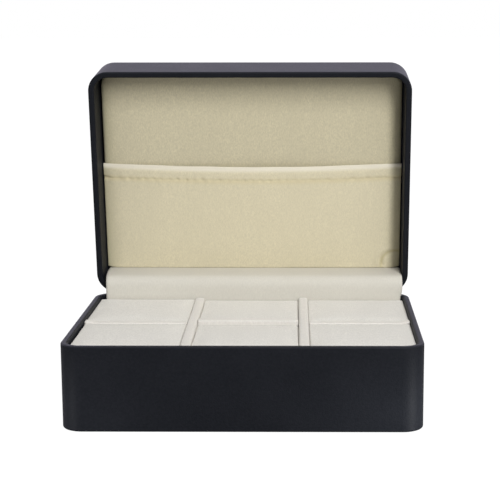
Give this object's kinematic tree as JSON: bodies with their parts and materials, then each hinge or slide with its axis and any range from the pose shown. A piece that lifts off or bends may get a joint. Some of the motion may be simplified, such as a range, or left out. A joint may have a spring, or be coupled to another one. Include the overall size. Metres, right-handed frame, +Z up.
{
  "type": "cufflink_box",
  "caption": "Black leatherette clamshell cufflink box, standing open, lined in cream velvet, with cushions between dividers in the base and a slack pocket in the lid.",
  "frame": {"origin": "centre of the flat underside of the base", "axes": "+Z up, +X to the right and -Y to the front as the open box faces you"},
  "size_m": [0.165, 0.1478, 0.1612],
  "materials": {
    "black_leatherette": "satin",
    "moulded_tray": "matte",
    "cream_velvet": "matte",
    "upholstery_foam": "matte",
    "grey_board": "matte",
    "black_paper": "matte",
    "plated_steel": "satin"
  },
  "bodies": {
    "base": {"base_hinge_rivets": "plated_steel", "base_leatherette": "black_leatherette", "base_shell": "moulded_tray", "base_underside_sheet": "black_paper", "cross_divider_centre_board": "grey_board", "cross_divider_centre_velvet": "cream_velvet", "cross_divider_left_board": "grey_board", "cross_divider_left_velvet": "cream_velvet", "cross_divider_right_board": "grey_board", "cross_divider_right_velvet": "cream_velvet", "hinge_strip": "cream_velvet", "left_divider_board": "grey_board", "left_divider_velvet": "cream_velvet", "left_hinge_base_leaf": "plated_steel", "left_hinge_pin": "plated_steel", "left_hinge_snap_spring": "plated_steel", "right_divider_board": "grey_board", "right_divider_velvet": "cream_velvet", "right_hinge_base_leaf": "plated_steel", "right_hinge_pin": "plated_steel", "right_hinge_snap_spring": "plated_steel", "tray_floor": "cream_velvet", "wall_lining": "cream_velvet"},
    "lid": {"left_hinge_lid_leaf": "plated_steel", "lid_hinge_rivets": "plated_steel", "lid_leatherette": "black_leatherette", "lid_liner_board": "grey_board", "lid_liner_velvet": "cream_velvet", "lid_pocket": "cream_velvet", "lid_shell": "moulded_tray", "lid_spacer_foam": "upholstery_foam", "right_hinge_lid_leaf": "plated_steel"},
    "front_left_cushion": {"front_left_cushion_foam": "upholstery_foam", "front_left_cushion_velvet": "cream_velvet"},
    "front_centre_cushion": {"front_centre_cushion_foam": "upholstery_foam", "front_centre_cushion_velvet": "cream_velvet"},
    "front_right_cushion": {"front_right_cushion_foam": "upholstery_foam", "front_right_cushion_velvet": "cream_velvet"},
    "back_left_cushion": {"back_left_cushion_foam": "upholstery_foam", "back_left_cushion_velvet": "cream_velvet"},
    "back_centre_cushion": {"back_centre_cushion_foam": "upholstery_foam", "back_centre_cushion_velvet": "cream_velvet"},
    "back_right_cushion": {"back_right_cushion_foam": "upholstery_foam", "back_right_cushion_velvet": "cream_velvet"}
  },
  "joints": [
    {"name": "lid_hinge", "type": "hinge", "parent": "base", "child": "lid", "pos_m": [0, 0.059, 0.0404], "axis": [-1, 0, 0], "range_deg": [-82.5, 0], "deforming": ["hinge_strip"]},
    {"name": "front_left_cushion_lift", "type": "slide", "parent": "base", "child": "front_left_cushion", "axis": [0, 0, 1], "range_m": [0, 0.012]},
    {"name": "front_centre_cushion_lift", "type": "slide", "parent": "base", "child": "front_centre_cushion", "axis": [0, 0, 1], "range_m": [0, 0.012]},
    {"name": "front_right_cushion_lift", "type": "slide", "parent": "base", "child": "front_right_cushion", "axis": [0, 0, 1], "range_m": [0, 0.012]},
    {"name": "back_left_cushion_lift", "type": "slide", "parent": "base", "child": "back_left_cushion", "axis": [0, 0, 1], "range_m": [0, 0.012]},
    {"name": "back_centre_cushion_lift", "type": "slide", "parent": "base", "child": "back_centre_cushion", "axis": [0, 0, 1], "range_m": [0, 0.012]},
    {"name": "back_right_cushion_lift", "type": "slide", "parent": "base", "child": "back_right_cushion", "axis": [0, 0, 1], "range_m": [0, 0.012]}
  ]
}
